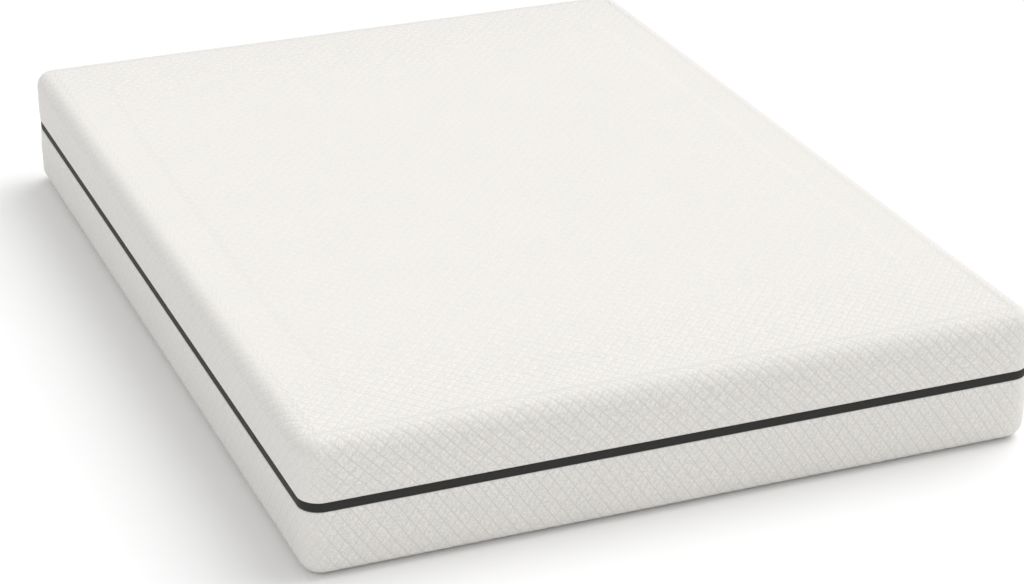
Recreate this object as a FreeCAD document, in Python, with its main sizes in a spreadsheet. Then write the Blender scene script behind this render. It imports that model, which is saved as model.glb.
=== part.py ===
import FreeCAD, Part
import Sketcher
import math
import os

# Memory foam mattress with a quilted cover in two halves that zip together, lying flat.
# Millimetres. +Z is up, +Y is the head end, X runs across. The origin is the middle of the underside.
# "Inset" is how far a face lies inside the outer surface of the sides, on all four of them.

# Driving dimensions: name on the sheet, value, what it is.
DIMENSIONS = (
    ("mattress_width", 1372.0, "side to side, the 54 inch full size"),
    ("mattress_length", 1905.0, "foot to head, the 75 inch full size"),
    ("mattress_height", 254.0, "floor to sleeping surface, 10 inches"),
    ("corner_radius", 40.0, "upright corners, seen from above"),
    ("top_edge_radius", 30.0, "roll of the cover over the top edge"),
    ("bottom_edge_radius", 34.0, "roll of the cover under the bottom edge"),
    ("band_centre", 135.0, "height of the band and of the zip"),
    ("band_opening", 17.0, "gap between the two halves of the cover"),
    ("fabric_thickness", 2.0, "quilted knit"),
    ("wadding_thickness", 8.0, "fibre layer behind the knit"),
    ("side_ease", 3.0, "room between the cover and the core, where the zip runs"),
    ("top_ease", 0.5, "room between the cover and the core at the top"),
    ("base_seam_inset", 70.0, "from the side to the seam of the base panel"),
    ("seam_corner_radius", 40.0, "corners of the base panel and of the barrier's mouth"),
    ("band_recess", 1.0, "how far the band lies behind the outer surface"),
    ("band_thickness", 1.2, "woven band"),
    ("band_clearance", 0.5, "between the band's free edge and the lower half"),
    ("band_gap_half", 36.0, "half of the band's opening where the slider parks"),
    ("tape_thickness", 0.7, "zip tape"),
    ("tape_width", 13.0, "each half of the zip tape"),
    ("tape_split_half", 0.9, "from the zip's middle to each tape"),
    ("coil_width", 2.8, "each half of the zip coil"),
    ("coil_thickness", 2.0, "zip coil, off the tape"),
    ("coil_split_half", 0.6, "from the zip's middle to each coil"),
    ("park_inset", 180.0, "from the side of the mattress to the parked slider"),
    ("slider_length", 14.0, "slider body along the zip"),
    ("slider_width", 9.2, "slider body across the zip"),
    ("plate_thickness", 1.2, "front and back plates of the slider"),
    ("flange_thickness", 0.8, "turned edges of the front plate"),
    ("web_thickness", 0.5, "blade that joins the two plates"),
    ("web_length", 4.5, "blade along the zip"),
    ("zip_clearance", 0.4, "between the slider and what it runs on"),
    ("crown_length", 8.0, "loop on the front plate, along the zip"),
    ("crown_width", 2.0, "loop on the front plate, across the zip"),
    ("crown_wall", 0.7, "thickness of the loop over the pull's bar"),
    ("crown_leg", 2.4, "each foot of the loop, along the zip"),
    ("pull_thickness", 1.1, "pull tab, and its bar"),
    ("pull_clearance", 0.3, "round the pull's bar"),
    ("pull_width", 6.4, "pull tab"),
    ("pull_length", 27.0, "from the bar to the middle of the tab's round end"),
    ("pull_eye_length", 7.0, "slot in the tab that passes over the loop"),
    ("pull_hole_radius", 1.3, "hole near the tab's end"),
    ("stop_length", 3.0, "end stop along the zip"),
    ("stop_gap", 1.0, "between the parked slider and the end stops"),
    ("box_start", 18.0, "from the parked slider's middle to the retainer box"),
    ("box_length", 8.0, "retainer box along the zip"),
    ("box_wall", 0.8, "front wall of the retainer box"),
    ("pin_length", 12.0, "insertion pin along the zip"),
    ("pin_width", 1.8, "insertion pin"),
    ("sock_thickness", 1.2, "knitted fire barrier"),
    ("sock_mouth_inset", 90.0, "from the side to the barrier's mouth, under the foam"),
    ("foam_clearance", 0.3, "between the barrier and the foam"),
    ("memory_foam_thickness", 60.0, "top layer of the core"),
    ("transition_foam_thickness", 50.0, "middle layer of the core"),
    ("label_offset", 300.0, "from the middle of the head end to the label"),
    ("label_width", 60.0, "care label"),
    ("label_height", 42.0, "care label"),
    ("label_bottom", 62.0, "floor to the label's lower edge"),
    ("label_thickness", 0.5, "care label, let into the knit"),
)

TOLERANCE = 1e-4
QUARTER = math.pi / 2
OVERSHOOT = 5.0
BAD_STATES = {"Invalid", "Error"}


class Size:
    """A length that keeps the sheet expression behind it and its present value."""

    def __init__(self, text, value):
        self.text = text
        self.value = value

    def __add__(self, other):
        return combine(self, "+", other, lambda a, b: a + b)

    def __sub__(self, other):
        return combine(self, "-", other, lambda a, b: a - b)

    def __mul__(self, other):
        return combine(self, "*", other, lambda a, b: a * b)

    def __truediv__(self, other):
        return combine(self, "/", other, lambda a, b: a / b)


def combine(left, sign, right, rule):
    """One arithmetic step, on the expressions and on the values alike."""
    if not isinstance(right, Size):
        right = Size(str(right), right)
    return Size(f"({left.text} {sign} {right.text})", rule(left.value, right.value))


class Sizes:
    """The driving dimensions, and the places worked out from them that several pieces share."""

    def __init__(self, sheet):
        for name, _, _ in DIMENSIONS:
            setattr(self, name, Size(f"Sizes.{name}", float(sheet.get(name))))
        self.nothing = Size("0", 0.0)
        self.cover = self.fabric_thickness + self.wadding_thickness
        self.upper_edge = self.band_centre + self.band_opening / 2
        self.lower_edge = self.band_centre - self.band_opening / 2
        self.head_face = self.mattress_length / 2
        self.core_inset = self.cover + self.side_ease
        self.core_top = self.mattress_height - self.cover - self.top_ease
        self.foam_inset = self.core_inset + self.sock_thickness + self.foam_clearance
        self.foam_top = self.core_top - self.sock_thickness - self.foam_clearance
        self.foam_shrink = self.cover + self.sock_thickness + self.foam_clearance
        self.foam_bottom = self.foam_shrink
        self.memory_bottom = self.foam_top - self.memory_foam_thickness
        self.transition_bottom = self.memory_bottom - self.transition_foam_thickness
        self.park = self.mattress_width / 2 - self.park_inset
        # Depths behind the outer surface of the head end, for the zip and its slider.
        self.coil_front = self.cover - self.coil_thickness
        self.plate_back = self.coil_front - self.zip_clearance
        self.plate_front = self.plate_back - self.plate_thickness
        self.bar_depth = self.plate_front - self.pull_clearance - self.pull_thickness / 2
        self.stop_start = self.park + self.slider_length / 2 + self.stop_gap
        self.box_low = self.park + self.box_start
        self.box_high = self.box_low + self.box_length


def make_sheet(doc):
    """The spreadsheet that holds the driving dimensions."""
    sheet = doc.addObject("Spreadsheet::Sheet", "Sizes")
    for row, (name, value, about) in enumerate(DIMENSIONS, 1):
        sheet.set(f"A{row}", name)
        sheet.set(f"B{row}", str(value))
        sheet.set(f"C{row}", about)
        sheet.setAlias(f"B{row}", name)
    doc.recompute()
    return sheet


def new_body(doc, label):
    """An empty body whose label is the piece's name."""
    body = doc.addObject("PartDesign::Body", label)
    body.Label = label
    return body


def level_sketch(body, name, level):
    """A sketch in a horizontal plane of the body, at a height."""
    plane = next(p for p in body.Origin.OriginFeatures if p.Role == "XY_Plane")
    sketch = body.newObject("Sketcher::SketchObject", f"{body.Name}_{name}")
    sketch.AttachmentSupport = [(plane, "")]
    sketch.MapMode = "FlatFace"
    sketch.setExpression("AttachmentOffset.Base.z", level.text)
    return sketch


def bind_constraint(sketch, name, size, *where):
    """Add one dimension to a sketch and tie it to the sheet."""
    index = sketch.addConstraint(Sketcher.Constraint(*where, size.value))
    sketch.renameConstraint(index, name)
    sketch.setExpression(f"Constraints.{name}", size.text)


def draw_outline(s, sketch, inset, radius=None):
    """Draw the mattress seen from above, inset all round; its corners follow the outer ones."""
    radius = radius or s.corner_radius - inset
    span_x = s.mattress_width - (inset + radius) * 2
    span_y = s.mattress_length - (inset + radius) * 2
    first = sketch.GeometryCount
    signs = ((1, 1), (-1, 1), (-1, -1), (1, -1))
    centres = [FreeCAD.Vector(a * span_x.value / 2, b * span_y.value / 2, 0) for a, b in signs]
    for quarter, centre in enumerate(centres):
        outward = FreeCAD.Vector(math.cos(quarter * QUARTER), math.sin(quarter * QUARTER), 0) * radius.value
        before = centres[quarter - 1]
        circle = Part.Circle(centre, FreeCAD.Vector(0, 0, 1), radius.value)
        sketch.addGeometry(Part.LineSegment(before + outward, centre + outward), False)
        sketch.addGeometry(Part.ArcOfCircle(circle, quarter * QUARTER, (quarter + 1) * QUARTER), False)
    lines = [first + 2 * quarter for quarter in range(4)]
    arcs = [line + 1 for line in lines]
    for quarter in range(4):
        direction = "Horizontal" if quarter % 2 else "Vertical"
        following = lines[(quarter + 1) % 4]
        sketch.addConstraint(Sketcher.Constraint(direction, lines[quarter]))
        sketch.addConstraint(Sketcher.Constraint("Tangent", lines[quarter], 2, arcs[quarter], 1))
        sketch.addConstraint(Sketcher.Constraint("Tangent", arcs[quarter], 2, following, 1))
    for arc in arcs[1:]:
        sketch.addConstraint(Sketcher.Constraint("Equal", arcs[0], arc))
    sketch.addConstraint(Sketcher.Constraint("Symmetric", arcs[0], 3, arcs[2], 3, -1, 1))
    bind_constraint(sketch, f"radius_{first}", radius, "Radius", arcs[0])
    bind_constraint(sketch, f"across_{first}", span_x, "DistanceX", arcs[1], 3, arcs[0], 3)
    bind_constraint(sketch, f"along_{first}", span_y, "DistanceY", arcs[3], 3, arcs[0], 3)


def draw_rectangle(sketch, low_x, high_x, low_y, high_y):
    """Draw an upright rectangle in the sketch's first quarter, from distances to its origin."""
    xs = (low_x.value, high_x.value, high_x.value, low_x.value)
    ys = (low_y.value, low_y.value, high_y.value, high_y.value)
    points = [FreeCAD.Vector(x, y, 0) for x, y in zip(xs, ys)]
    for side in range(4):
        sketch.addGeometry(Part.LineSegment(points[side], points[(side + 1) % 4]), False)
    for side in range(4):
        direction = "Vertical" if side % 2 else "Horizontal"
        sketch.addConstraint(Sketcher.Constraint("Coincident", side, 2, (side + 1) % 4, 1))
        sketch.addConstraint(Sketcher.Constraint(direction, side))
    bind_constraint(sketch, "low_x", low_x, "DistanceX", -1, 1, 0, 1)
    bind_constraint(sketch, "high_x", high_x, "DistanceX", -1, 1, 2, 1)
    bind_constraint(sketch, "low_y", low_y, "DistanceY", -1, 1, 0, 1)
    bind_constraint(sketch, "high_y", high_y, "DistanceY", -1, 1, 2, 1)


def pad(body, name, sketch, height):
    """Raise a sketch into a solid."""
    feature = body.newObject("PartDesign::Pad", f"{body.Name}_{name}")
    feature.Profile = sketch
    feature.setExpression("Length", height.text)
    sketch.Visibility = False
    body.Document.recompute()
    return feature


def add_slab(s, body, name, low, high, *insets, radius=None):
    """Add the outline between two heights: whole with one inset, a ring with two."""
    sketch = level_sketch(body, f"{name}_sketch", low)
    for inset in insets:
        draw_outline(s, sketch, inset, radius)
    return pad(body, name, sketch, high - low)


def pocket(body, name, sketch, height):
    """Cut a sketch upwards out of the body, and make sure that it took something away."""
    before = body.Shape.Volume
    feature = body.newObject("PartDesign::Pocket", f"{body.Name}_{name}")
    feature.Profile = sketch
    feature.setExpression("Length", height.text)
    feature.Reversed = True
    body.Document.recompute()
    if body.Shape.Volume > before - TOLERANCE:
        raise RuntimeError(f"{feature.Name} cuts nothing")


def cut_head_end(s, body, name, low_x, high_x, low, high, depth):
    """Cut a block out of the body's head end: its two ends, two heights and depth."""
    sketch = level_sketch(body, f"{name}_sketch", low)
    draw_rectangle(sketch, low_x, high_x, s.head_face - depth, s.head_face + OVERSHOOT)
    pocket(body, name, sketch, high - low)


def round_edges(body, name, feature, level, radius):
    """Round the edges that lie flat at one height."""
    names = []
    for number, edge in enumerate(feature.Shape.Edges, 1):
        if max(abs(edge.BoundBox.ZMin - level.value), abs(edge.BoundBox.ZMax - level.value)) < TOLERANCE:
            names.append(f"Edge{number}")
    fillet = body.newObject("PartDesign::Fillet", f"{body.Name}_{name}")
    fillet.Base = (feature, names)
    fillet.setExpression("Radius", radius.text)
    body.Document.recompute()
    return fillet


def hollow(body, feature, level, wall):
    """Leave a wall inside the solid's surface, open at the flat face at one height."""
    for number, face in enumerate(feature.Shape.Faces, 1):
        if max(abs(face.BoundBox.ZMin - level.value), abs(face.BoundBox.ZMax - level.value)) < TOLERANCE:
            mouth = f"Face{number}"
    thickness = body.newObject("PartDesign::Thickness", f"{body.Name}_wall")
    thickness.Base = (feature, [mouth])
    thickness.setExpression("Value", wall.text)
    thickness.Reversed = True
    body.Document.recompute()
    if body.Shape.BoundBox.DiagonalLength > feature.Shape.BoundBox.DiagonalLength + TOLERANCE:
        raise RuntimeError(f"{thickness.Name} grew outwards")
    return thickness


def make_ring(s, doc, label, low, high, outer_inset, inner_inset):
    """A flat strip that stands on edge and runs all round the mattress."""
    body = new_body(doc, label)
    add_slab(s, body, "strip", low, high, outer_inset, inner_inset)
    return body


def block(doc, name, low, high):
    """A box between two corners."""
    box = doc.addObject("Part::Box", name)
    for axis, side, start, end in zip("xyz", ("Length", "Width", "Height"), low, high):
        box.setExpression(side, (end - start).text)
        box.setExpression(f"Placement.Base.{axis}", start.text)
    return box


def rod(doc, name, centre, low, high, radius):
    """An upright cylinder about a centre (x, y), between two heights."""
    cylinder = doc.addObject("Part::Cylinder", name)
    cylinder.setExpression("Radius", radius.text)
    cylinder.setExpression("Height", (high - low).text)
    for axis, start in zip("xyz", (centre[0], centre[1], low)):
        cylinder.setExpression(f"Placement.Base.{axis}", start.text)
    return cylinder


def fuse(doc, label, pieces):
    """Join primitives into one solid."""
    joined = doc.addObject("Part::MultiFuse", label)
    joined.Shapes = pieces
    joined.Refine = True
    joined.Label = label
    return joined


def cut(doc, label, base, tool):
    """Take one solid out of another."""
    result = doc.addObject("Part::Cut", label)
    result.Base = base
    result.Tool = tool
    result.Refine = True
    result.Label = label
    return result


# The upper half of the cover.


def make_top_cover(s, doc):
    """Quilted knit cap: sleeping surface, rolled edge and side, turned in above the band."""
    body = new_body(doc, "top_cover")
    solid = add_slab(s, body, "outside", s.upper_edge, s.mattress_height, s.nothing)
    rolled = round_edges(body, "roll", solid, s.mattress_height, s.top_edge_radius)
    hollow(body, rolled, s.upper_edge, s.fabric_thickness)
    hem_top = s.upper_edge + s.fabric_thickness
    add_slab(s, body, "hem", s.upper_edge, hem_top, s.fabric_thickness / 2, s.cover)
    return body


def make_top_cover_wadding(s, doc):
    """Fibre layer that lines the cap, down to its hem."""
    body = new_body(doc, "top_cover_wadding")
    low = s.upper_edge + s.fabric_thickness
    high = s.mattress_height - s.fabric_thickness
    solid = add_slab(s, body, "outside", low, high, s.fabric_thickness)
    rolled = round_edges(body, "roll", solid, high, s.top_edge_radius - s.fabric_thickness)
    hollow(body, rolled, low, s.wadding_thickness)
    return body


def make_border_band(s, doc):
    """Flat band sewn under the cap's hem. Its ends stop each side of the parked slider."""
    low = s.lower_edge + s.band_clearance
    back = s.band_recess + s.band_thickness
    body = make_ring(s, doc, "border_band", low, s.upper_edge, s.band_recess, back)
    gap = s.band_gap_half
    cut_head_end(s, body, "parking_gap", s.park - gap, s.park + gap, low, s.upper_edge, s.cover)
    return body


# The lower half of the cover.


def make_lower_border(s, doc):
    """Quilted knit side below the band, rolled under to the seam of the base panel."""
    body = new_body(doc, "lower_border")
    solid = add_slab(s, body, "outside", s.nothing, s.lower_edge, s.nothing)
    rolled = round_edges(body, "roll", solid, s.nothing, s.bottom_edge_radius)
    hollow(body, rolled, s.lower_edge, s.fabric_thickness)
    hem_low = s.lower_edge - s.fabric_thickness
    add_slab(s, body, "hem", hem_low, s.lower_edge, s.fabric_thickness / 2, s.cover)
    opening = level_sketch(body, "base_opening_sketch", s.nothing)
    draw_outline(s, opening, s.base_seam_inset, s.seam_corner_radius)
    pocket(body, "base_opening", opening, s.fabric_thickness)
    label_end = s.label_offset + s.label_width
    label_top = s.label_bottom + s.label_height
    recess = (s.label_offset, label_end, s.label_bottom, label_top, s.label_thickness)
    cut_head_end(s, body, "label_recess", *recess)
    return body


def make_base_panel(s, doc):
    """Plain cloth of the underside, inside the seam."""
    body = new_body(doc, "base_panel")
    radius = s.seam_corner_radius
    add_slab(s, body, "cloth", s.nothing, s.fabric_thickness, s.base_seam_inset, radius=radius)
    return body


def make_lower_cover_wadding(s, doc):
    """Fibre layer that lines the lower half, sides and base."""
    body = new_body(doc, "lower_cover_wadding")
    low = s.fabric_thickness
    high = s.lower_edge - s.fabric_thickness
    solid = add_slab(s, body, "outside", low, high, s.fabric_thickness)
    rolled = round_edges(body, "roll", solid, low, s.bottom_edge_radius - s.fabric_thickness)
    hollow(body, rolled, high, s.wadding_thickness)
    return body


def make_care_label(s, doc):
    """Blank label let into the knit at the head end."""
    low = (s.label_offset, s.head_face - s.label_thickness, s.label_bottom)
    high = (s.label_offset + s.label_width, s.head_face, s.label_bottom + s.label_height)
    return block(doc, "care_label", low, high)


# The zip: two tapes that lie behind the hems, each with a coil on its outer face.


def make_zip_tapes(s, doc):
    """The two tapes, which keep apart at the zip's middle."""
    back = s.cover + s.tape_thickness
    high = s.band_centre + s.tape_split_half
    low = s.band_centre - s.tape_split_half
    upper = make_ring(s, doc, "upper_zip_tape", high, high + s.tape_width, s.cover, back)
    lower = make_ring(s, doc, "lower_zip_tape", low - s.tape_width, low, s.cover, back)
    return [upper, lower]


def make_zip_coils(s, doc):
    """The two coils. The upper one ends at the parked slider, the lower one at its end stop."""
    high = s.band_centre + s.coil_split_half
    low = s.band_centre - s.coil_split_half
    upper = make_ring(s, doc, "upper_zip_coil", high, high + s.coil_width, s.coil_front, s.cover)
    lower = make_ring(s, doc, "lower_zip_coil", low - s.coil_width, low, s.coil_front, s.cover)
    slider_start = s.park - s.slider_length / 2 - s.stop_gap
    slider_end = s.stop_start - s.stop_gap
    end = s.box_high + s.pin_width
    cut_head_end(s, upper, "parking_gap", slider_start, end, high, high + s.coil_width, s.cover)
    cut_head_end(s, lower, "end_gap", slider_end, end, low - s.coil_width, low, s.cover)
    return [upper, lower]


def make_zip_ends(s, doc):
    """The end stops that hold the parked slider, and the pin in its box, open at the top."""
    front = s.head_face - s.coil_front
    back = s.head_face - s.cover
    high = s.band_centre + s.coil_split_half
    low = s.band_centre - s.coil_split_half
    end = s.stop_start + s.stop_length
    upper_stop = block(doc, "upper_zip_stop", (s.stop_start, back, high), (end, front, high + s.coil_width))
    lower_stop = block(doc, "lower_zip_stop", (s.stop_start, back, low - s.coil_width), (end, front, low))
    pin_end = s.box_high + s.pin_width / 2
    pin_low = (pin_end - s.pin_length, back, high)
    pin = block(doc, "zip_insertion_pin", pin_low, (pin_end, back + s.pin_width, high + s.pin_width))
    floor_low = (s.box_low, back, low - s.coil_width)
    floor = block(doc, "box_floor", floor_low, (s.box_high, front, low + s.coil_split_half))
    wall_low = (s.box_low, front, low - s.coil_width)
    wall_high = (s.box_high, front + s.box_wall, high + s.pin_width)
    box = fuse(doc, "zip_retainer_box", [floor, block(doc, "box_front_wall", wall_low, wall_high)])
    return [upper_stop, lower_stop, pin, box]


# The slider and its pull.


def make_slider(s, doc):
    """Two plates joined by a thin blade between the coils, with a loop for the pull on the front."""
    half_length = s.slider_length / 2
    half_width = s.slider_width / 2
    left = s.park - half_length
    right = s.park + half_length
    bottom = s.band_centre - half_width
    top = s.band_centre + half_width

    def across(depth_low, depth_high, ends, heights, name):
        """A block of the slider between two depths behind the head end's surface."""
        low = (ends[0], s.head_face - depth_high, heights[0])
        high = (ends[1], s.head_face - depth_low, heights[1])
        return block(doc, name, low, high)

    flange_back = s.cover - s.zip_clearance
    back_front = s.cover + s.tape_thickness + s.zip_clearance
    back_back = back_front + s.plate_thickness
    plate = across(s.plate_front, s.plate_back, (left, right), (bottom, top), "slider_front_plate")
    back = across(back_front, back_back, (left, right), (bottom, top), "slider_back_plate")
    flange = s.flange_thickness
    upper = across(s.plate_back, flange_back, (left, right), (top - flange, top), "slider_upper_flange")
    lower = across(s.plate_back, flange_back, (left, right), (bottom, bottom + flange), "slider_lower_flange")
    blade_ends = (right - s.web_length, right)
    blade_heights = (s.band_centre - s.web_thickness / 2, s.band_centre + s.web_thickness / 2)
    blade = across(s.plate_back, back_front, blade_ends, blade_heights, "slider_blade")
    loop_room = s.pull_thickness + s.pull_clearance * 2
    loop_inside = s.plate_front - loop_room
    loop_ends = (s.park - s.crown_length / 2, s.park + s.crown_length / 2)
    loop_heights = (s.band_centre - s.crown_width / 2, s.band_centre + s.crown_width / 2)
    eye_ends = (loop_ends[0] + s.crown_leg, loop_ends[1] - s.crown_leg)
    loop = across(loop_inside - s.crown_wall, s.plate_front, loop_ends, loop_heights, "slider_loop_block")
    eye = across(loop_inside, s.plate_front, eye_ends, loop_heights, "slider_loop_eye")
    arch = cut(doc, "slider_loop", loop, eye)
    return fuse(doc, "zip_slider_body", [plate, back, upper, lower, blade, arch])


def make_pull(s, doc):
    """Flat tab with a round end and a slot that clears the loop; its bar turns inside the loop."""
    centre_y = s.head_face - s.bar_depth
    half = s.pull_thickness / 2
    bottom = s.band_centre - s.pull_width / 2
    top = s.band_centre + s.pull_width / 2
    end = s.park + s.pull_length
    slot = s.crown_width / 2 + s.zip_clearance
    bar = rod(doc, "pull_bar", (s.park, centre_y), bottom, top, half)
    tab = block(doc, "pull_tab_plate", (s.park, centre_y - half, bottom), (end, centre_y + half, top))
    tip = disc(s, doc, "pull_tab_tip", end, s.pull_width / 2)
    hole = disc(s, doc, "pull_tab_hole", end, s.pull_hole_radius)
    eye_low = (s.park, centre_y - half, s.band_centre - slot)
    eye_high = (s.park + s.pull_eye_length, centre_y + half, s.band_centre + slot)
    plate = fuse(doc, "pull_plate", [tab, tip])
    opened = cut(doc, "pull_opened", cut(doc, "pull_drilled", plate, hole), block(doc, "pull_eye", eye_low, eye_high))
    return fuse(doc, "zip_pull_tab", [opened, bar])


def disc(s, doc, name, x, radius):
    """A disc as thick as the pull, lying in the pull's plane at one place along it."""
    cylinder = doc.addObject("Part::Cylinder", name)
    cylinder.Placement.Rotation = FreeCAD.Rotation(FreeCAD.Vector(1, 0, 0), -90)
    cylinder.setExpression("Radius", radius.text)
    cylinder.setExpression("Height", s.pull_thickness.text)
    cylinder.setExpression("Placement.Base.x", x.text)
    cylinder.setExpression("Placement.Base.y", (s.head_face - s.bar_depth - s.pull_thickness / 2).text)
    cylinder.setExpression("Placement.Base.z", s.band_centre.text)
    return cylinder


# The core.


def make_rolled_block(s, doc, label, heights, inset, top_radius=None, bottom_radius=None):
    """A solid with the mattress's outline between two heights, its top or bottom edge rounded."""
    body = new_body(doc, label)
    low, high = heights
    feature = add_slab(s, body, "solid", low, high, inset)
    if top_radius:
        feature = round_edges(body, "top_roll", feature, high, top_radius)
    if bottom_radius:
        round_edges(body, "bottom_roll", feature, low, bottom_radius)
    return body


def make_fire_barrier(s, doc):
    """Knitted sock over the foam, gathered under it and open below."""
    wall = s.sock_thickness
    outer = (s.top_edge_radius - s.cover, s.bottom_edge_radius - s.cover)
    inner = (outer[0] - wall, outer[1] - wall)
    inside_heights = (s.cover + wall, s.core_top - wall)
    outside = make_rolled_block(s, doc, "sock_outside", (s.cover, s.core_top), s.core_inset, *outer)
    inside = make_rolled_block(s, doc, "sock_inside", inside_heights, s.core_inset + wall, *inner)
    mouth = new_body(doc, "sock_mouth")
    radius = s.seam_corner_radius
    mouth_ends = (s.cover - OVERSHOOT, s.cover + OVERSHOOT)
    add_slab(s, mouth, "opening", *mouth_ends, s.sock_mouth_inset, radius=radius)
    return cut(doc, "fire_barrier_sock", outside, fuse(doc, "sock_room", [inside, mouth]))


def make_foam(s, doc):
    """The three glued layers; the outer edges of the top and bottom ones follow the cover."""
    inset = s.foam_inset
    top_radius = s.top_edge_radius - s.foam_shrink
    bottom_radius = s.bottom_edge_radius - s.foam_shrink
    memory = (s.memory_bottom, s.foam_top)
    transition = (s.transition_bottom, s.memory_bottom)
    support = (s.foam_bottom, s.transition_bottom)
    return [
        make_rolled_block(s, doc, "memory_foam_layer", memory, inset, top_radius=top_radius),
        make_rolled_block(s, doc, "transition_foam_layer", transition, inset),
        make_rolled_block(s, doc, "support_foam_core", support, inset, bottom_radius=bottom_radius),
    ]


def make_pieces(s, doc):
    """Every piece of the mattress, each a solid of its own."""
    pieces = [make_top_cover(s, doc), make_top_cover_wadding(s, doc), make_border_band(s, doc)]
    pieces += [make_lower_border(s, doc), make_base_panel(s, doc), make_lower_cover_wadding(s, doc)]
    pieces += make_zip_tapes(s, doc)
    pieces += make_zip_coils(s, doc)
    pieces += make_zip_ends(s, doc)
    pieces += [make_slider(s, doc), make_pull(s, doc)]
    pieces += [make_fire_barrier(s, doc), make_care_label(s, doc)]
    pieces += make_foam(s, doc)
    return pieces


def check_and_export(doc, pieces):
    """Stop at any failed object or bad solid, then write one file per piece."""
    doc.recompute()
    for thing in doc.Objects:
        if BAD_STATES & set(thing.State):
            raise RuntimeError(f"{thing.Label} failed: {thing.State}")
    for piece in pieces:
        if piece.Shape.isNull() or not piece.Shape.isValid():
            raise RuntimeError(f"{piece.Label} has no valid shape")
    os.makedirs("parts", exist_ok=True)
    for piece in pieces:
        piece.Shape.exportStep(f"parts/{piece.Label}.step")
        print(piece.Label, len(piece.Shape.Solids), round(piece.Shape.Volume), piece.Shape.BoundBox)


def main():
    doc = FreeCAD.newDocument("Mattress")
    sizes = Sizes(make_sheet(doc))
    check_and_export(doc, make_pieces(sizes, doc))


main()
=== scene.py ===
"""Memory foam mattress with a zip-off quilted cover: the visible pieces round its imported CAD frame."""
import math

import bmesh
import bpy
import numpy as np
from bpy.props import FloatProperty, FloatVectorProperty, IntProperty, PointerProperty
from mathutils import Matrix, Vector
from mathutils.bvhtree import BVHTree
from mathutils.kdtree import KDTree


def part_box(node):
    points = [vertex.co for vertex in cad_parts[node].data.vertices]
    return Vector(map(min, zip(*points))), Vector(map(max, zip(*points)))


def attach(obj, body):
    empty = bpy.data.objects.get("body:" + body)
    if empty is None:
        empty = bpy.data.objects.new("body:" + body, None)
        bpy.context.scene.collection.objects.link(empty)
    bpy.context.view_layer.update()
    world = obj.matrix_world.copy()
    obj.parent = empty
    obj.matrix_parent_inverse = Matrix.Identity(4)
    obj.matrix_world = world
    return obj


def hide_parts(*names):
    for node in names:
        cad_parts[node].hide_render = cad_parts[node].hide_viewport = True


bl_info = {
    "name": "Zip-cover mattress",
    "version": (1, 0, 0),
    "blender": (4, 5, 0),
    "location": "View3D > Sidebar > Mattress",
    "description": "Builds a foam mattress with a quilted zip cover round its CAD frame",
    "category": "Object",
}

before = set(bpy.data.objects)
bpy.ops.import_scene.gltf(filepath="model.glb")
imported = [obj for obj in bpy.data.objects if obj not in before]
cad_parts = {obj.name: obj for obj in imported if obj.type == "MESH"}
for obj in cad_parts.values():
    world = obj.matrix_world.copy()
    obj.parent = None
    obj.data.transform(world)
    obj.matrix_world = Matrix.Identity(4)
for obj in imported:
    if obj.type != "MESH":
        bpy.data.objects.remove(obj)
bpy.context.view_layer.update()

MM = 0.001
BOX = {name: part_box(name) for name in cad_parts}
HALF_WIDTH = BOX["top_cover"][1].x
HALF_LENGTH = BOX["top_cover"][1].y
TOP_Z = BOX["top_cover"][1].z
CORNER = 40 * MM
CORNER_CELLS = 4
ACROSS_CELLS = 164
ALONG_CELLS = 202
CELLS_PER_DIAMOND = 3
PANEL_CORNER = 40 * MM
CLOTH = 2 * MM
WADDING = 8 * MM
COVER_LIP = CLOTH + WADDING
SOCK = 1.2 * MM
HEM = 4 * MM
ZIP_PARK = (0.470, 0.542)
TURNS = (0.3, 0.6, 0.9, 1.2, math.pi / 2)


# ---------------------------------------------------------------- sizes and colours


def length(name, description, default, most):
    """A setting in metres, from 0 up."""
    return FloatProperty(
        name=name, description=description, default=default, min=0.0, max=most, unit="LENGTH"
    )


def tone(name, description, default):
    """A colour setting."""
    return FloatVectorProperty(
        name=name, description=description, default=default, subtype="COLOR", size=3, min=0.0, max=1.0
    )


class MattressLooks(bpy.types.PropertyGroup):
    """Sizes and colours of the visible pieces."""

    quilt_depth: length(
        "Quilt depth", "Height of a diamond's middle over its quilting lines", 1.2 * MM, 5 * MM
    )
    side_bulge: length(
        "Side bulge", "Most that the padded sides may swell past the straight wall", 3.2 * MM, 12 * MM
    )
    top_crown: length("Top crown", "Rise of the middle of the sleeping surface", 3.0 * MM, 12 * MM)
    pressure: FloatProperty(
        name="Padding pressure",
        description="Pressure that swells the cover in the cloth run",
        default=4.0,
        min=0.0,
        max=20.0,
    )
    cloth_frames: IntProperty(
        name="Cloth frames",
        description="Frames that the cloth run lasts",
        default=20,
        min=2,
        max=60,
    )
    knit_colour: tone("Knit", "Colour of the quilted knit", (0.922, 0.899, 0.862))
    band_colour: tone("Border band", "Colour of the woven band and the zip", (0.030, 0.030, 0.028))
    sock_colour: tone("Barrier sock", "Colour of the rib-knit fire barrier", (0.80, 0.785, 0.73))
    memory_foam_colour: tone("Memory foam", "Colour of the top foam layer", (0.86, 0.80, 0.62))
    transition_foam_colour: tone("Transition foam", "Colour of the middle foam layer", (0.62, 0.74, 0.76))
    support_foam_colour: tone("Support foam", "Colour of the base foam", (0.80, 0.80, 0.79))


def looks():
    return bpy.context.scene.mattress_looks


# ---------------------------------------------------------------- finishes


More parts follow.
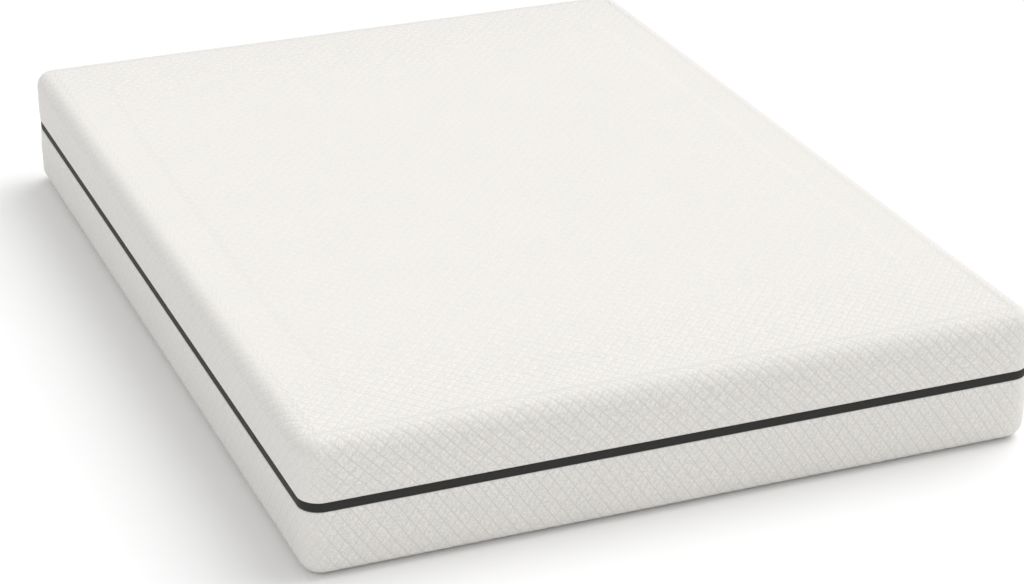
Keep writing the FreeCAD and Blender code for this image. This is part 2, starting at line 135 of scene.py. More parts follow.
class Value:
    """A socket of a finish. Arithmetic on it adds Math nodes."""

    def __init__(self, finish, socket):
        self.finish = finish
        self.socket = socket

    def maths(self, operation, *others):
        return self.finish.node("Math", {"operation": operation}, 0, self, *others)

    def __add__(self, other):
        return self.maths("ADD", other)

    def __sub__(self, other):
        return self.maths("SUBTRACT", other)

    def __rsub__(self, other):
        return self.finish.node("Math", {"operation": "SUBTRACT"}, 0, other, self)

    def __mul__(self, other):
        return self.maths("MULTIPLY", other)

    def __truediv__(self, other):
        return self.maths("DIVIDE", other)

    def wave(self, count, push=None):
        """A sine with that many waves for each unit, pushed along by another value."""
        turned = self * (math.tau * count)
        return (turned if push is None else turned + push).maths("SINE")

    def smoother(self, low, high):
        """0 below low and 1 above high, with a smooth step between them."""
        settings = {"interpolation_type": "SMOOTHSTEP"}
        return self.finish.node("MapRange", settings, "Result", self, low, high, 0.0, 1.0)


class Finish:
    """One node material, made from expressions."""

    def __init__(self, name, roughness=0.8, **fixed):
        self.material = bpy.data.materials.new(name)
        self.material.use_nodes = True
        self.tree = self.material.node_tree
        self.shader = self.tree.nodes["Principled BSDF"]
        self.shader.inputs["Roughness"].default_value = roughness
        for socket, value in fixed.items():
            self.shader.inputs[socket.replace("_", " ")].default_value = value

    def node(self, kind, settings=None, output=0, *values, **named):
        """A node of that kind: its settings first, then its sockets' values or links."""
        made = self.tree.nodes.new("ShaderNode" + kind)
        for key, value in (settings or {}).items():
            setattr(made, key, value)
        for place, value in [*enumerate(values), *named.items()]:
            self.feed(made.inputs[place], value)
        return Value(self, made.outputs[output])

    def feed(self, socket, value):
        """Links a value to a socket, or sets the socket to a number or a colour."""
        if isinstance(value, Value):
            self.tree.links.new(value.socket, socket)
        elif value is not None:
            socket.default_value = value

    def split(self, vector):
        """The three numbers of a vector."""
        apart = self.node("SeparateXYZ", None, 0, vector).socket.node
        return [Value(self, socket) for socket in apart.outputs]

    def place(self):
        return self.node("TexCoord", None, "Object")

    def cloth_map(self):
        return self.node("UVMap", {"uv_map": "Cloth"}, "UV")

    def noise(self, vector, scale, detail=2.0, roughness=0.5):
        named = {"Vector": vector, "Scale": scale, "Detail": detail, "Roughness": roughness}
        return self.node("TexNoise", None, "Fac", **named)

    def cells(self, vector, scale, feature="F1"):
        named = {"Vector": vector, "Scale": scale}
        return self.node("TexVoronoi", {"feature": feature}, "Distance", **named)

    def mix(self, share, first, second):
        """A colour between two colours."""
        ends = [c if isinstance(c, Value) else (*c[:3], 1.0) for c in (first, second)]
        unused = [None] * 5
        return self.node("Mix", {"data_type": "RGBA"}, 2, share, *unused, *ends)

    def paint(self, colour, roughness=None, bumps=()):
        """Feeds the shader. bumps is a list of (height, how far the height of 1 stands out)."""
        normal = None
        for height, distance in bumps:
            named = {"Distance": distance, "Strength": 1.0, "Height": height, "Normal": normal}
            normal = self.node("Bump", None, "Normal", **named)
        self.feed(self.shader.inputs["Base Color"], colour)
        self.feed(self.shader.inputs["Roughness"], roughness)
        self.feed(self.shader.inputs["Normal"], normal)
        return self.material


def shaded(colour, factor):
    return tuple(c * factor for c in colour[:3])


FINISHES = {}


def finish(name):
    """A finish by its slot name, made once."""
    if name not in FINISHES:
        FINISHES[name] = MAKERS[name]()
    return FINISHES[name]


def quilted_knit():
    f = Finish("quilted_knit", 0.9, Sheen_Weight=0.12, Sheen_Roughness=0.5, Specular_IOR_Level=0.2)
    base = looks().knit_colour
    hollow = shaded(base, 0.74)
    # Painted shade: the knit colour darkened to two thirds, painted into the quilting lines for the shade
    # in their grooves.
    groove_painted_shade = shaded(base, 0.66)
    u, v, _ = f.split(f.cloth_map())
    along_one = u + v
    along_other = u - v

    def line(value, period, half_width):
        """1 on the lines where the value is a whole number of periods."""
        off = (value / period + 0.5).maths("FRACT") - 0.5
        return 1 - off.maths("ABSOLUTE").smoother(0.0, half_width / period)

    clear = f.node("Attribute", {"attribute_name": "clear"}, "Fac")
    place = f.place()
    fibre = f.noise(place, 900.0, 2.0)
    mottled = f.noise(place, 260.0, 3.0, 0.6)
    cloudy = f.noise(place, 7.0, 3.0)
    broken = (mottled - 0.5) * 2.8 + 0.85
    seams = line(along_one, 1.0, 0.060).maths("MAXIMUM", line(along_other, 1.0, 0.055) * 0.8)
    half = line(along_one + 0.5, 1.0, 0.05).maths("MAXIMUM", line(along_other + 0.5, 1.0, 0.05))
    lines = seams.maths("MAXIMUM", half * 0.35) * broken * clear
    wales = u.wave(13)
    courses = v.wave(17, wales * 0.9)
    knit = (wales * 0.25 + courses * 0.25 + 0.5) * 0.6 + fibre * 0.4
    grain = ((knit - 0.5) * 0.7 + (mottled - 0.5) * 2.4) * (clear * 0.9 + 0.1)
    tint = f.mix(grain + 0.5 + (cloudy - 0.5) * 0.1, hollow, base)
    # Painted shade: the quilting lines are mixed towards the darker knit colour, standing in for the
    # shade in their grooves.
    colour = f.mix(lines * 0.8, tint, groove_painted_shade)
    rough = cloudy * 0.08 + 0.86
    relief = (1 - lines) * 0.8 + knit * 0.2
    return f.paint(colour, rough, [(relief, 0.55 * MM), (mottled, 0.25 * MM)])


def wadding():
    f = Finish("wadding", 0.95, Sheen_Weight=0.2, Specular_IOR_Level=0.15)
    place = f.place()
    tufts = f.noise(place, 160.0, 4.0, 0.65)
    strands = f.noise(place, 900.0, 2.0)
    colour = f.mix(tufts, (0.80, 0.80, 0.78), (0.90, 0.90, 0.88))
    return f.paint(colour, None, [(tufts, 1.2 * MM), (strands, 0.3 * MM)])


def band_weave():
    f = Finish("band_weave", 0.85, Sheen_Weight=0.05, Specular_IOR_Level=0.25)
    base = looks().band_colour
    u, v, _ = f.split(f.cloth_map())
    warp = v.wave(14)
    weft = u.wave(16, warp * 1.2)
    fibre = f.noise(f.place(), 1200.0, 2.0)
    weave = (warp * 0.25 + weft * 0.25 + 0.5) * 0.7 + fibre * 0.3
    colour = f.mix(weave, shaded(base, 0.7), shaded(base, 1.25))
    return f.paint(colour, weave * 0.15 + 0.75, [(weave, 0.2 * MM)])


def base_cloth():
    f = Finish("base_cloth", 0.9, Specular_IOR_Level=0.2)
    x, y, _ = f.split(f.place())
    warp = x.wave(500)
    weft = y.wave(500, warp * 1.2)
    weave = warp * 0.25 + weft * 0.25 + 0.5
    cloudy = f.noise(f.place(), 9.0, 3.0)
    colour = f.mix(weave * 0.5 + cloudy * 0.4, (0.70, 0.70, 0.68), (0.80, 0.80, 0.78))
    return f.paint(colour, None, [(weave, 0.2 * MM)])


def zip_tape():
    f = Finish("zip_tape", 0.85, Specular_IOR_Level=0.25)
    base = looks().band_colour
    u, v, _ = f.split(f.cloth_map())
    bone = u.wave(24, v.wave(9) * 1.5) * 0.5 + 0.5
    fibre = f.noise(f.place(), 1400.0)
    colour = f.mix(bone * 0.6 + fibre * 0.4, shaded(base, 0.75), shaded(base, 1.4))
    return f.paint(colour, None, [(bone, 0.15 * MM)])


def moulded_black(name, tone):
    f = Finish(name, 0.38, Specular_IOR_Level=0.5)
    place = f.place()
    mottled = f.noise(place, 320.0, 3.0)
    colour = f.mix(mottled, shaded(tone, 0.85), shaded(tone, 1.2))
    return f.paint(colour, mottled * 0.18 + 0.30, [(f.noise(place, 2500.0), 0.02 * MM)])


def slider_metal():
    f = Finish("slider_metal", 0.35, Metallic=0.35, Coat_Weight=0.3, Coat_Roughness=0.2)
    place = f.place()
    speckle = f.noise(place, 900.0, 3.0)
    worn = f.noise(place, 120.0, 4.0).smoother(0.60, 0.72)
    colour = f.mix(worn * 0.35, (0.040, 0.040, 0.041), (0.16, 0.16, 0.165))
    return f.paint(colour, speckle * 0.2 + 0.25, [(speckle, 0.03 * MM)])


def barrier_knit():
    f = Finish("barrier_knit", 0.92, Sheen_Weight=0.15, Specular_IOR_Level=0.15)
    base = looks().sock_colour
    u, v, _ = f.split(f.cloth_map())
    rib = u.wave(8) * 0.5 + 0.5
    stitch = v.wave(15) * 0.5 + 0.5
    fibre = f.noise(f.place(), 700.0, 3.0)
    depth = rib * 0.6 + stitch * rib * 0.2 + fibre * 0.2
    colour = f.mix(depth, shaded(base, 0.86), shaded(base, 1.08))
    return f.paint(colour, None, [(depth, 0.6 * MM)])


def label_satin():
    f = Finish("label_satin", 0.42, Sheen_Weight=0.2, Specular_IOR_Level=0.4)
    x, _, z = f.split(f.place())
    floats = z.wave(2200, x.wave(400)) * 0.5 + 0.5
    colour = f.mix(floats, (0.84, 0.84, 0.83), (0.92, 0.92, 0.91))
    return f.paint(colour, floats * 0.1 + 0.38, [(floats, 0.05 * MM)])


def foam(name, pore, depth):
    f = Finish(name, 0.95, Specular_IOR_Level=0.1)
    base = getattr(looks(), name + "_colour")
    place = f.place()
    pores = f.cells(place, pore)
    fine = f.noise(place, pore * 2.2, 3.0, 0.6)
    cloudy = f.noise(place, 5.0, 3.0)
    open_cells = pores * 0.6 + fine * 0.4
    tint = f.mix(open_cells, shaded(base, 0.82), base)
    colour = f.mix(cloudy * 0.3, tint, shaded(base, 0.94))
    return f.paint(colour, None, [(open_cells, depth)])


PLAIN_MAKERS = (
    quilted_knit, wadding, band_weave, base_cloth, zip_tape, slider_metal, barrier_knit, label_satin,
)
MAKERS = {
    **{make.__name__: make for make in PLAIN_MAKERS},
    "zip_coil": lambda: moulded_black("zip_coil", (0.022, 0.022, 0.023)),
    "zip_ends": lambda: moulded_black("zip_ends", (0.028, 0.028, 0.028)),
    "memory_foam": lambda: foam("memory_foam", 620.0, 0.25 * MM),
    "transition_foam": lambda: foam("transition_foam", 450.0, 0.35 * MM),
    "support_foam": lambda: foam("support_foam", 380.0, 0.4 * MM),
}


# ---------------------------------------------------------------- outlines and skins


class Outline:
    """The mattress's rounded outline, cut into cells: across the width, along the length."""

    def __init__(self, across=ACROSS_CELLS, along=ALONG_CELLS, corner=CORNER_CELLS, scale=1.0):
        self.across = across
        self.along = along
        self.corner = corner
        self.scale = scale
        self.count = 2 * (across + along)
        self.spots = [self.spot(k) for k in range(self.count)]

    def cell(self, k):
        """Place of ring point k on the grid of the top: cells across and along."""
        a, b = self.across, self.along
        k %= self.count
        if k < a:
            return k, 0
        if k < a + b:
            return a, k - a
        if k < 2 * a + b:
            return 2 * a + b - k, b
        return 0, self.count - k

    def side(self, k):
        """Which side ring edge k to k + 1 is on: 0 foot, 1 right, 2 head, 3 left."""
        a, b = self.across, self.along
        ends = (a, a + b, 2 * a + b, self.count)
        return next(i for i, end in enumerate(ends) if k < end)

    def lean(self, i, j):
        """Where a grid point lies: from -1 to 1 along the straights, and from -1 to 1 in its corner."""
        c = self.corner

        def one(n, total):
            if n < c:
                return -1.0, (n - c) / c
            if n > total - c:
                return 1.0, (n - total + c) / c
            return 2.0 * (n - c) / (total - 2 * c) - 1.0, 0.0

        return one(i, self.across), one(j, self.along)

    def spot(self, k):
        """Share along the straights and outward normal of ring point k."""
        i, j = self.cell(k)
        (sx, p), (sy, q) = self.lean(i, j)
        if p and q:
            normal = (p * math.sqrt(1 - q * q / 2), q * math.sqrt(1 - p * p / 2))
        elif abs(p) == 1:
            normal = (p, 0.0)
        elif abs(q) == 1:
            normal = (0.0, q)
        return sx, sy, *normal

    def ring(self, inset, z, radius=None):
        """Points of the whole outline at that inset from the mattress's outer face."""
        r = CORNER - inset if radius is None else radius
        hx = HALF_WIDTH - inset - r
        hy = HALF_LENGTH - inset - r
        return [(sx * hx + nx * r, sy * hy + ny * r, z) for sx, sy, nx, ny in self.spots]

    def inner_point(self, i, j, inset, radius=None):
        """A point of the flat top inside the outline at that inset."""
        r = CORNER - inset if radius is None else radius
        (sx, p), (sy, q) = self.lean(i, j)
        hx = HALF_WIDTH - inset - r
        hy = HALF_LENGTH - inset - r
        if p and q:
            p, q = p * math.sqrt(1 - q * q / 2), q * math.sqrt(1 - p * p / 2)
        return sx * hx + p * r, sy * hy + q * r

    def cloth_spot(self, k, row, side):
        """Place on the cloth of ring point k, row rows below the top's edge, seen from one side."""
        a, b = self.across, self.along
        flat = [(k, -row), (a + row, k - a), (2 * a + b - k, b + row), (-row, self.count - k)][side]
        return flat[0] * self.scale, flat[1] * self.scale


class Skin:
    """A mesh that grows from a flat lid or a ring, row by row, by extruding its rim."""

    def __init__(self, outline):
        self.outline = outline
        self.bm = bmesh.new()
        self.uv = self.bm.loops.layers.uv.new("Cloth")
        self.layer = self.bm.verts.layers.int.new("part")
        self.part = 0
        self.rim = []
        self.row = 0.0

    def lid(self, inset, z, radius=None):
        """A flat lid whose edge is the rim."""
        o = self.outline
        made = bmesh.ops.create_grid(self.bm, x_segments=o.across, y_segments=o.along, size=1.0)
        grid = {}
        for v in made["verts"]:
            i = round((v.co.x + 1) / 2 * o.across)
            j = round((v.co.y + 1) / 2 * o.along)
            grid[v] = (i, j)
            x, y = o.inner_point(i, j, inset, radius)
            v.co = (x, y, z)
            v[self.layer] = self.part
        for face in {f for v in grid for f in v.link_faces}:
            for loop in face.loops:
                i, j = grid[loop.vert]
                loop[self.uv].uv = (i * o.scale, j * o.scale)
        by_cell = {cell: v for v, cell in grid.items()}
        self.rim = [by_cell[o.cell(k)] for k in range(o.count)]
        self.row = 0.0
        return self

    def ring(self, inset, z, radius=None):
        """A bare ring as the rim."""
        made = bmesh.ops.create_circle(self.bm, cap_ends=False, radius=1.0, segments=self.outline.count)
        self.rim = made["verts"]
        for v, point in zip(self.rim, self.outline.ring(inset, z, radius)):
            v.co = point
        return self

    def rim_edges(self):
        return [self.bm.edges.get((v, self.rim[n - 1])) for n, v in enumerate(self.rim)]

    def grow(self, inset, z, radius=None, step=1.0, points=None):
        """One more row of faces, from the rim to the outline at that inset and height."""
        o = self.outline
        old = {v: k for k, v in enumerate(self.rim)}
        made = bmesh.ops.extrude_edge_only(self.bm, edges=self.rim_edges())["geom"]
        fresh = [None] * len(self.rim)
        spots = {v: (k, self.row) for v, k in old.items()}
        for v in (g for g in made if isinstance(g, bmesh.types.BMVert)):
            k = next(old[e.other_vert(v)] for e in v.link_edges if e.other_vert(v) in old)
            fresh[k] = v
            spots[v] = (k, self.row + step)
        for v, point in zip(fresh, points or o.ring(inset, z, radius)):
            v.co = point
            v[self.layer] = self.part
        for face in (g for g in made if isinstance(g, bmesh.types.BMFace)):
            ks = {spots[v][0] for v in face.verts}
            wraps = 0 in ks and o.count - 1 in ks
            side = o.side(o.count - 1 if wraps else min(ks))
            for loop in face.loops:
                k, row = spots[loop.vert]
                k = o.count if wraps and k == 0 else k
                loop[self.uv].uv = o.cloth_spot(k, row, side)
        self.rim = fresh
        self.row += step
        return self

    def follow(self, profile, step=1.0):
        for entry in profile:
            self.grow(entry[0], entry[1], entry[2] if len(entry) > 2 else None, step)
        return self

    def join(self, other):
        """One more row, onto another rim with as many points or half as many, and welds the two."""
        if len(other) * 2 == len(self.rim):
            doubled = []
            for n, v in enumerate(other):
                edge = self.bm.edges.get((v, other[(n + 1) % len(other)]))
                _, middle = bmesh.utils.edge_split(edge, v, 0.5)
                doubled += [v, middle]
            other = doubled
        self.grow(0, 0, points=[v.co.copy() for v in other])
        bmesh.ops.weld_verts(self.bm, targetmap=dict(zip(self.rim, other)))
        return self

    def cut_gap(self, low_x, high_x):
        """Opens a gap at the head end between two places across the width."""
        bm = self.bm
        for x in (low_x, high_x):
            near = [v for v in bm.verts if v.co.y > 0.8 * HALF_LENGTH and abs(v.co.x - x) < 30 * MM]
            edges = {e for v in near for e in v.link_edges}
            faces = {f for v in near for f in v.link_faces}
            bmesh.ops.bisect_plane(
                bm, geom=[*near, *edges, *faces], dist=1e-7, plane_co=(x, 0, 0), plane_no=(1, 0, 0)
            )
        gone = []
        for face in bm.faces:
            c = face.calc_center_median()
            if low_x < c.x < high_x and c.y > 0.8 * HALF_LENGTH:
                gone.append(face)
        bmesh.ops.delete(bm, geom=gone, context="FACES")
        bmesh.ops.holes_fill(bm, edges=[e for e in bm.edges if e.is_boundary], sides=0)
        return self

    def mesh(self, name, smooth=True):
        bmesh.ops.recalc_face_normals(self.bm, faces=self.bm.faces)
        mesh = bpy.data.meshes.new(name)
        self.bm.to_mesh(mesh)
        self.bm.free()
        if smooth:
            mesh.shade_smooth()
        return mesh


def part_is(mesh, part):
    """Which vertices were made as that part of a skin."""
    values = np.empty(len(mesh.vertices), np.int32)
    mesh.attributes["part"].data.foreach_get("value", values)
    return values == part


def coordinates(mesh):
    co = np.empty(len(mesh.vertices) * 3)
    mesh.vertices.foreach_get("co", co)
    return co.reshape(-1, 3)


def set_coordinates(mesh, co):
    mesh.vertices.foreach_set("co", np.ascontiguousarray(co).ravel())
    mesh.update()


def vertex_normals(mesh):
    out = np.empty(len(mesh.vertices) * 3)
    mesh.vertex_normals.foreach_get("vector", out)
    return out.reshape(-1, 3)


def cloth_places(mesh):
    """One place on the cloth for each vertex."""
    uv = np.empty(len(mesh.loops) * 2)
    mesh.uv_layers["Cloth"].data.foreach_get("uv", uv)
    owner = np.empty(len(mesh.loops), int)
    mesh.loops.foreach_get("vertex_index", owner)
    places = np.zeros((len(mesh.vertices), 2))
    places[owner] = uv.reshape(-1, 2)
    return places


def show(mesh, name, slot, body, *nodes):
    """Puts a finished mesh in the scene as a named piece."""
    piece = bpy.data.objects.new(name, mesh)
    bpy.context.scene.collection.objects.link(piece)
    mesh.materials.append(finish(slot))
    if nodes:
        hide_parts(*nodes)
    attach(piece, body)
    return piece


def roll_profile(top, roll, bottom, rows):
    """Evenly spaced places down a rounded edge and the straight wall under it."""
    arc = roll * math.pi / 2
    total = arc + top - roll - bottom
    places = []
    for n in range(1, rows + 1):
        s = total * n / rows
        if s < arc:
            turn = s / roll
            places.append((roll * (1 - math.sin(turn)), top - roll * (1 - math.cos(turn))))
        else:
            places.append((0.0, top - roll - (s - arc)))
    return places


# ---------------------------------------------------------------- padding

EASED_SHARE = 0.04
LEAST_SHARE = 0.4


def inflate(mesh, held, reach, pressure, frames, eased=None, least=0.0):
    """Swells a mesh with the cloth solver and returns how far each vertex moved out.

    That is at most its reach, and at least that share of it. Where eased is true the foam carries
    the cloth, so the pressure there is a small part of the whole.
    """
    scene = bpy.context.scene
    rest = coordinates(mesh)
    normals = vertex_normals(mesh)
    trial = bpy.data.objects.new("padding_run", mesh.copy())
    scene.collection.objects.link(trial)
    group = trial.vertex_groups.new(name="held")
    group.add([int(n) for n in np.nonzero(held)[0]], 1.0, "REPLACE")
    cloth = trial.modifiers.new("Cloth", "CLOTH")
    s = cloth.settings
    s.quality = 4
    s.mass = 0.3
    s.tension_stiffness = 25
    s.compression_stiffness = 25
    s.shear_stiffness = 10
    s.bending_stiffness = 2
    s.use_pressure = True
    s.uniform_pressure_force = pressure
    s.vertex_group_mass = "held"
    if eased is not None:
        air = trial.vertex_groups.new(name="air")
        air.add([int(n) for n in np.nonzero(~eased)[0]], 1.0, "REPLACE")
        air.add([int(n) for n in np.nonzero(eased)[0]], EASED_SHARE, "REPLACE")
        s.vertex_group_pressure = "air"
    s.effector_weights.gravity = 0
    cloth.point_cache.frame_start = 1
    cloth.point_cache.frame_end = frames
    scene.frame_start = 1
    for number in range(1, frames + 1):
        scene.frame_set(number)
    swollen = trial.evaluated_get(bpy.context.evaluated_depsgraph_get()).to_mesh()
    moved = coordinates(swollen) - rest
    bpy.data.objects.remove(trial)
    scene.frame_set(1)
    out = (moved * normals).sum(axis=1)
    return normals * np.clip(out, least * reach, reach)[:, None]


def spread(mesh, outside, source, moved):
    """Carries a coarse mesh's moves over to the outside vertices of a finer one."""
    tree = KDTree(len(source))
    for n, co in enumerate(source):
        tree.insert(co, n)
    tree.balance()
    target = coordinates(mesh)
    out = np.zeros_like(target)
    for n in np.nonzero(outside)[0]:
        near = tree.find_n(target[n], 4)
        weights = [1.0 / (d * d + 9e-6) for _, _, d in near]
        total = sum(weights)
        out[n] = sum(moved[m] * (w / total) for (_, m, _), w in zip(near, weights))
    return out


def swollen(mesh, held, reach, eased=None):
    """How far the padding pushes each vertex of a coarse skin."""
    return inflate(mesh, held, reach, looks().pressure, looks().cloth_frames, eased, LEAST_SHARE)


def finish_padding(skin, name, source, moved, edge):
    """A fine skin with the coarse one's moves and the quilting, which fades out towards the edge."""
    mesh = skin.mesh(name)
    outside = part_is(mesh, OUTSIDE)
    co = coordinates(mesh) + spread(mesh, outside, source, moved)
    set_coordinates(mesh, co)
    return quilt(mesh, np.where(outside, edge(co[:, 2]), 0), looks().quilt_depth)


def quilt_relief():
    """Heights over one diamond repeat, from 0 on the lines to 1, from a cloth run on a small tile."""
    n = 12
    bm = bmesh.new()
    bmesh.ops.create_grid(bm, x_segments=3 * n, y_segments=3 * n, size=36 * MM)
    mesh = bpy.data.meshes.new("quilt_tile")
    bm.to_mesh(mesh)
    bm.free()
    co = coordinates(mesh)
    u = (co[:, 0] / (36 * MM) + 1) * 1.5
    v = (co[:, 1] / (36 * MM) + 1) * 1.5
    a = np.abs((u + v + 0.5) % 1 - 0.5)
    b = np.abs((u - v + 0.5) % 1 - 0.5)
    held = (a < 0.02) | (b < 0.02)
    moved = inflate(mesh, held, np.full(len(co), 6 * MM), 3.0, 12)
    height = np.abs(moved[:, 2])
    i = np.round(u * n).astype(int)
    j = np.round(v * n).astype(int)
    table = np.zeros((3 * n + 1, 3 * n + 1))
    table[i, j] = height
    middle = table[n : 2 * n + 1, n : 2 * n + 1]
    middle = (middle + middle[::-1] + middle[:, ::-1] + middle[::-1, ::-1]) / 4
    return middle / max(middle.max(), 1e-9)


RELIEF = []


def quilt_heights(places):
    """Height of the quilting at places on the cloth, from 0 on the lines to 1."""
    if not RELIEF:
        RELIEF.append(quilt_relief())
    table = RELIEF[0]
    n = len(table) - 1
    u = (places[:, 0] % 1) * n
    v = (places[:, 1] % 1) * n
    i = np.minimum(u.astype(int), n - 1)
    j = np.minimum(v.astype(int), n - 1)
    s = u - i
    t = v - j
    low = table[i, j] * (1 - s) + table[i + 1, j] * s
    high = table[i, j + 1] * (1 - s) + table[i + 1, j + 1] * s
    return low * (1 - t) + high * t


def unevenness(co, size=0.5 * MM):
    """A slow, fixed waviness, as soft goods have."""
    x, y, z = co[:, 0], co[:, 1], co[:, 2]
    wave = np.sin(7.3 * x + 1.7) * np.sin(5.1 * y + 0.6) + 0.6 * np.sin(13.7 * x - 9.1 * y + 11 * z)
    wave += 0.35 * np.sin(31.0 * x + 2.2 + 23.0 * z) * np.sin(27.0 * y + 1.1)
    return wave * size * 0.5


def ramp(values, low, high):
    share = np.clip((values - low) / (high - low), 0, 1)
    return share * share * (3 - 2 * share)


def definition(co, normals):
    """How clearly the quilting shows, from 0 to 1: taut at the corners and flattened on the top. It also
    sets how strong the painted shade in the quilting lines is.
    """
    along_x = ramp(np.abs(co[:, 0]), HALF_WIDTH - 60 * MM, HALF_WIDTH - 12 * MM)
    along_y = ramp(np.abs(co[:, 1]), HALF_LENGTH - 60 * MM, HALF_LENGTH - 12 * MM)
    from_end = HALF_LENGTH - np.abs(co[:, 1])
    lying = 0.27 + 0.55 * np.exp(-((from_end / (260 * MM)) ** 2))
    facing = normals**2
    clear = facing[:, 2] * lying + facing[:, 0] * 0.55 + facing[:, 1]
    return clear * (1 - 0.5 * along_x * along_y)


def quilt(mesh, fade, depth):
    """Presses the quilting lines into a mesh."""
    co = coordinates(mesh)
    normals = vertex_normals(mesh)
    clear = definition(co, normals)
    relief = (quilt_heights(cloth_places(mesh)) - 0.62) * depth * (0.35 + 0.65 * clear)
    set_coordinates(mesh, co + normals * ((relief + unevenness(co)) * fade)[:, None])
    # The clear attribute also scales the painted groove shade in quilted_knit.
    kept = mesh.attributes.new("clear", "FLOAT", "POINT")
    kept.data.foreach_set("value", clear.astype(np.float32))
    return mesh


# ---------------------------------------------------------------- pieces

BAND_TOP = BOX["border_band"][1].z
BAND_BOTTOM = BOX["border_band"][0].z
TOP_ROLL = 30 * MM
BASE_ROLL = 34 * MM
UPPER_ROWS = 14
LIP_ROWS = [(0.25, 2.2), (0.65, 1.1), (1.15, 0.25), (3.0, 0.0), (10.0, 0.0)]
LOWER_ROWS = 15
SCALE = 1.0 / CELLS_PER_DIAMOND
OUTSIDE = 1
LIP = 2


def fine_outline():
    """The outline in cells half as wide as the cloth run's."""
    return Outline(2 * ACROSS_CELLS, 2 * ALONG_CELLS, 2 * CORNER_CELLS, SCALE / 2)


def in_mm(places, level, sign):
    return [(inset * MM, level + sign * rise * MM) for inset, rise in places]


def upper_outside(skin, fineness):
    lip_start = BAND_TOP + HEM
    skin.lid(TOP_ROLL, TOP_Z)
    skin.follow(roll_profile(TOP_Z, TOP_ROLL, lip_start, UPPER_ROWS * fineness))
    return skin


def crown(co):
    """1 in the middle of the top and 0 at its edges."""
    x = np.clip(np.abs(co[:, 0]) / HALF_WIDTH, 0, 1)
    y = np.clip(np.abs(co[:, 1]) / HALF_LENGTH, 0, 1)
    return (1 - x**4) * (1 - y**4)


def upper_reach(co):
    """How far each part of the upper half may swell."""
    side = np.clip((TOP_Z - co[:, 2]) / TOP_ROLL, 0, 1)
    hem = np.clip((co[:, 2] - BAND_TOP - HEM) / (30 * MM), 0, 1)
    wall = np.sin(hem * math.pi / 2)
    return looks().top_crown * (1 - side) * (0.25 + 0.75 * crown(co)) + looks().side_bulge * side * wall


class MATTRESS_OT_top_cover(bpy.types.Operator):
    """Build the quilted upper half of the cover."""

    bl_idname = "mattress.top_cover"
    bl_label = "Top cover"

    def execute(self, context):
        coarse = upper_outside(Skin(Outline(scale=SCALE)), 1).mesh("cover_run")
        source = coordinates(coarse)
        reach = upper_reach(source)
        held = source[:, 2] < BAND_TOP + 5 * MM
        moved = swollen(coarse, held, reach, source[:, 2] > TOP_Z - TOP_ROLL * 0.3)
        skin = Skin(Outline(scale=SCALE))
        skin.lid(TOP_ROLL, TOP_Z - CLOTH)
        for inset, z in roll_profile(TOP_Z - CLOTH, TOP_ROLL - CLOTH, BAND_TOP + 30 * MM, 6):
            skin.grow(inset + CLOTH, z)
        skin.follow(in_mm([(2.0, 2.0), (10.0, 2.0)], BAND_TOP, 1))
        inner_rim = skin.rim
        skin.outline = fine_outline()
        skin.part = OUTSIDE
        upper_outside(skin, 2)
        skin.part = LIP
        skin.follow(in_mm(LIP_ROWS, BAND_TOP, 1), 0.4)
        skin.join(inner_rim)

        def hem(z):
            return np.clip((z - BAND_TOP - HEM) / (6 * MM), 0, 1)

        mesh = finish_padding(skin, "top_cover_quilted", source, moved, hem)
        piece = show(mesh, "top_cover_quilted", "quilted_knit", "upper_cover", "top_cover")
        return {"FINISHED"}


def lower_outside_profile(rows):
    """Down the lower border's wall, round its bottom roll and in to the base seam."""
    start = BAND_BOTTOM - 4.5 * MM
    straight = start - BASE_ROLL
    arc = BASE_ROLL * math.pi / 2
    seam = BOX["base_panel"][1].x
    flat = HALF_WIDTH - seam - BASE_ROLL
    total = straight + arc + flat
    places = []
    for n in range(rows + 1):
        s = total * n / rows
        if s < straight:
            places.append((0.0, start - s, None))
        elif s < straight + arc:
            turn = (s - straight) / BASE_ROLL
            places.append((BASE_ROLL * (1 - math.cos(turn)), BASE_ROLL * (1 - math.sin(turn)), None))
        else:
            inward = s - straight - arc
            share = inward / flat
            radius = (CORNER - BASE_ROLL) * (1 - share) + PANEL_CORNER * share
            places.append((BASE_ROLL + inward, 0.0, radius))
    return places


def lower_reach(co):
    """How far each part of the lower half may swell."""
    hem = np.clip((BAND_BOTTOM - 4.5 * MM - co[:, 2]) / (25 * MM), 0, 1)
    foot = np.clip((co[:, 2] - 4 * MM) / (40 * MM), 0, 1)
    return looks().side_bulge * 0.7 * np.sin(hem * math.pi / 2) * foot


